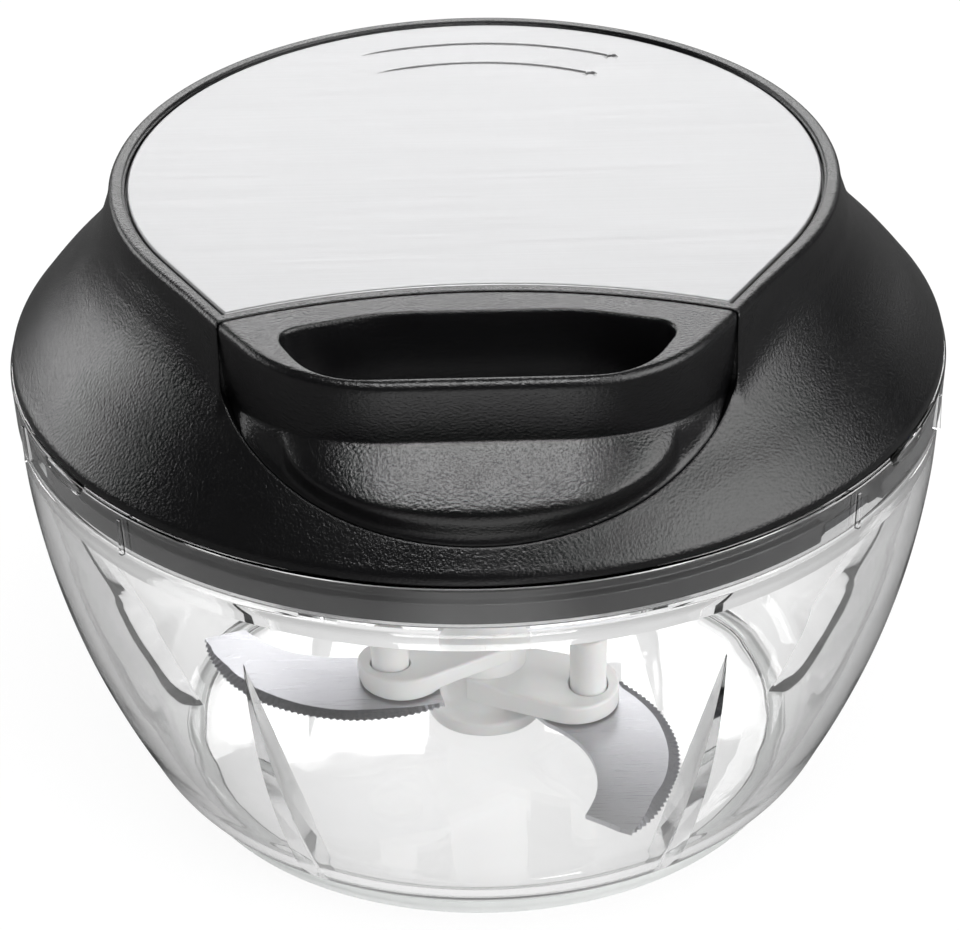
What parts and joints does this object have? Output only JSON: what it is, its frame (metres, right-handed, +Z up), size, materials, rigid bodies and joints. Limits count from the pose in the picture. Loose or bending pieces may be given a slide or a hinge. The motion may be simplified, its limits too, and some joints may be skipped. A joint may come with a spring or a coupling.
{
  "type": "pull-cord food chopper",
  "caption": "Clear bowl with a stepped blade unit under a black bayonet lid, whose front handle pulls a cord off a sprung drum to spin the blades.",
  "frame": {"origin": "on the bowl's axis, at the underside of its foot ring", "axes": "+Z up along the bowl's axis, -Y towards the handle at the front, +X to the right seen from the front"},
  "size_m": [0.1446, 0.1446, 0.1026],
  "materials": {
    "clear_plastic": "clear, polished",
    "soft_foot": "translucent, matt",
    "zinc_steel": "plated",
    "silicone": "matt",
    "black_plastic": "fine moulded grain",
    "brushed_steel": "brushed",
    "blade_steel": "ground",
    "spring_steel": "rolled",
    "grey_plastic": "smooth",
    "white_plastic": "satin",
    "braid": "braided"
  },
  "bodies": {
    "bowl": {"bowl": "clear_plastic", "foot_ring": "soft_foot", "spindle_pin": "zinc_steel"},
    "seal": {"lid_seal": "silicone"},
    "lid": {"cover_shell": "black_plastic", "top_plate": "brushed_steel", "lid_base": "black_plastic", "lid_screw_1": "zinc_steel", "lid_screw_2": "zinc_steel", "lid_screw_3": "zinc_steel", "lid_screw_4": "zinc_steel", "drum_bush": "grey_plastic", "drum_axle": "zinc_steel", "spring_arbor": "grey_plastic", "cord_eyelet": "grey_plastic", "cord_lead": "braid"},
    "drum": {"cord_drum": "white_plastic", "drum_cap": "grey_plastic", "mainspring": "spring_steel", "drive_socket": "grey_plastic", "cord_winding": "braid"},
    "handle": {"handle": "black_plastic", "cord_plug": "grey_plastic", "cord_knot": "braid", "pull_cord": "braid"},
    "blade_unit": {"blade_hub": "white_plastic", "lower_blade": "blade_steel", "lower_post": "white_plastic", "middle_blade": "blade_steel", "middle_post": "white_plastic", "upper_blade": "blade_steel", "upper_post": "white_plastic"}
  },
  "joints": [
    {"name": "lid_lift", "type": "slide", "parent": "bowl", "child": "seal", "axis": [0, 0, 1], "range_m": [0, 0.11]},
    {"name": "lid_turn", "type": "hinge", "parent": "seal", "child": "lid", "pos_m": [0, 0, 0.07], "axis": [0, 0, 1], "range_deg": [0, 12]},
    {"name": "handle_pull", "type": "slide", "parent": "lid", "child": "handle", "axis": [0, -1, 0], "range_m": [0, 0.44], "deforming": ["pull_cord"]},
    {"name": "drum_spin", "type": "hinge", "parent": "lid", "child": "drum", "pos_m": [0, 0, 0.08], "axis": [0, 0, 1], "range_deg": [0, 1150], "stiffness_Nm_per_rad": 0.004, "springref_deg": -458.37},
    {"name": "blade_spin", "type": "hinge", "parent": "bowl", "child": "blade_unit", "pos_m": [0, 0, 0.01], "axis": [0, 0, 1], "range_deg": [0, 1150]}
  ],
  "couplings": [
    {"joint": "drum_spin", "follows": "handle_pull", "rad_per_m": 45.455},
    {"joint": "blade_spin", "follows": "handle_pull", "rad_per_m": 45.455}
  ]
}
